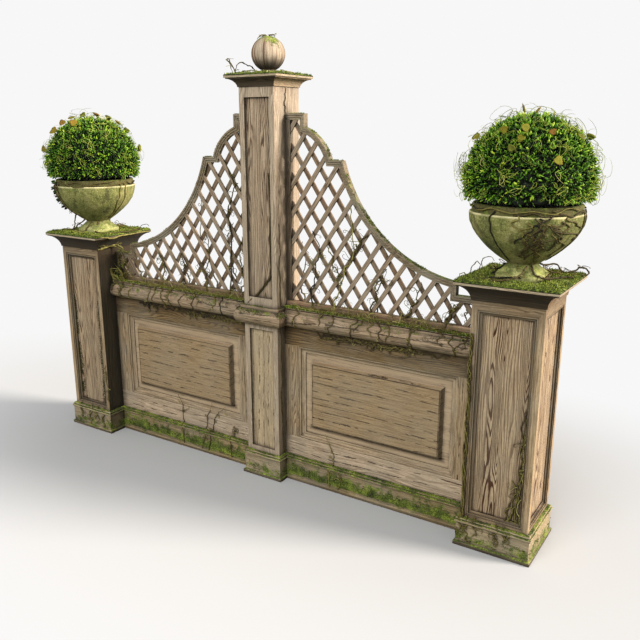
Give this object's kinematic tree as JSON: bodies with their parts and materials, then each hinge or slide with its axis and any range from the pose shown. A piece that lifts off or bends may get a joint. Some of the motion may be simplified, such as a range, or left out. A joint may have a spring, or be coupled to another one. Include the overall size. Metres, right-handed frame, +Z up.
{
  "type": "garden screen",
  "caption": "Free-standing timber garden screen: panelled dado with a swept trellis top, a tall centre post with a ball, and end pedestals carrying stone urns with clipped box.",
  "frame": {"origin": "on the ground under the axis of the centre post", "axes": "+X along the screen to the right as seen from the front, +Y from front to back, +Z up"},
  "size_m": [3.031, 0.531, 2.1684],
  "materials": {
    "post_wood": "weathered, bare",
    "panel_wood": "weathered, bare",
    "moulding_wood": "weathered, bare",
    "cap_wood": "weathered, mossy",
    "lath_wood": "weathered, bare",
    "urn_stone": "weathered, mossy",
    "soil": "loose, damp",
    "foliage": "leafy"
  },
  "bodies": {
    "root": {"centre_post": "post_wood", "centre_upper_panels": "panel_wood", "centre_lower_panels": "panel_wood", "centre_plinth": "moulding_wood", "centre_rail": "moulding_wood", "centre_cap_mould": "moulding_wood", "centre_cap_slab": "cap_wood", "finial_ball": "post_wood", "finial_dowel": "post_wood", "left_pedestal_carcass": "post_wood", "left_pedestal_panels": "panel_wood", "left_pedestal_panel_beads": "moulding_wood", "left_pedestal_plinth": "moulding_wood", "left_pedestal_cap_mould": "moulding_wood", "left_pedestal_cap_slab": "cap_wood", "left_urn": "urn_stone", "left_urn_soil": "soil", "left_topiary": "foliage", "left_dado_top_rail": "post_wood", "left_dado_bottom_rail": "post_wood", "left_dado_stiles": "post_wood", "left_dado_panel": "panel_wood", "left_dado_mouldings": "moulding_wood", "left_bay_plinth": "moulding_wood", "left_bay_rail": "moulding_wood", "left_dado_ledge": "cap_wood", "left_trellis_sill": "moulding_wood", "left_trellis_stiles": "post_wood", "left_trellis_crest": "moulding_wood", "left_trellis_shoulder": "moulding_wood", "left_trellis_sweep": "moulding_wood", "left_trellis_end": "moulding_wood", "left_front_laths": "lath_wood", "left_back_laths": "lath_wood", "right_pedestal_carcass": "post_wood", "right_pedestal_panels": "panel_wood", "right_pedestal_panel_beads": "moulding_wood", "right_pedestal_plinth": "moulding_wood", "right_pedestal_cap_mould": "moulding_wood", "right_pedestal_cap_slab": "cap_wood", "right_urn": "urn_stone", "right_urn_soil": "soil", "right_topiary": "foliage", "right_dado_top_rail": "post_wood", "right_dado_bottom_rail": "post_wood", "right_dado_stiles": "post_wood", "right_dado_panel": "panel_wood", "right_dado_mouldings": "moulding_wood", "right_bay_plinth": "moulding_wood", "right_bay_rail": "moulding_wood", "right_dado_ledge": "cap_wood", "right_trellis_sill": "moulding_wood", "right_trellis_stiles": "post_wood", "right_trellis_crest": "moulding_wood", "right_trellis_shoulder": "moulding_wood", "right_trellis_sweep": "moulding_wood", "right_trellis_end": "moulding_wood", "right_front_laths": "lath_wood", "right_back_laths": "lath_wood"}
  },
  "joints": []
}
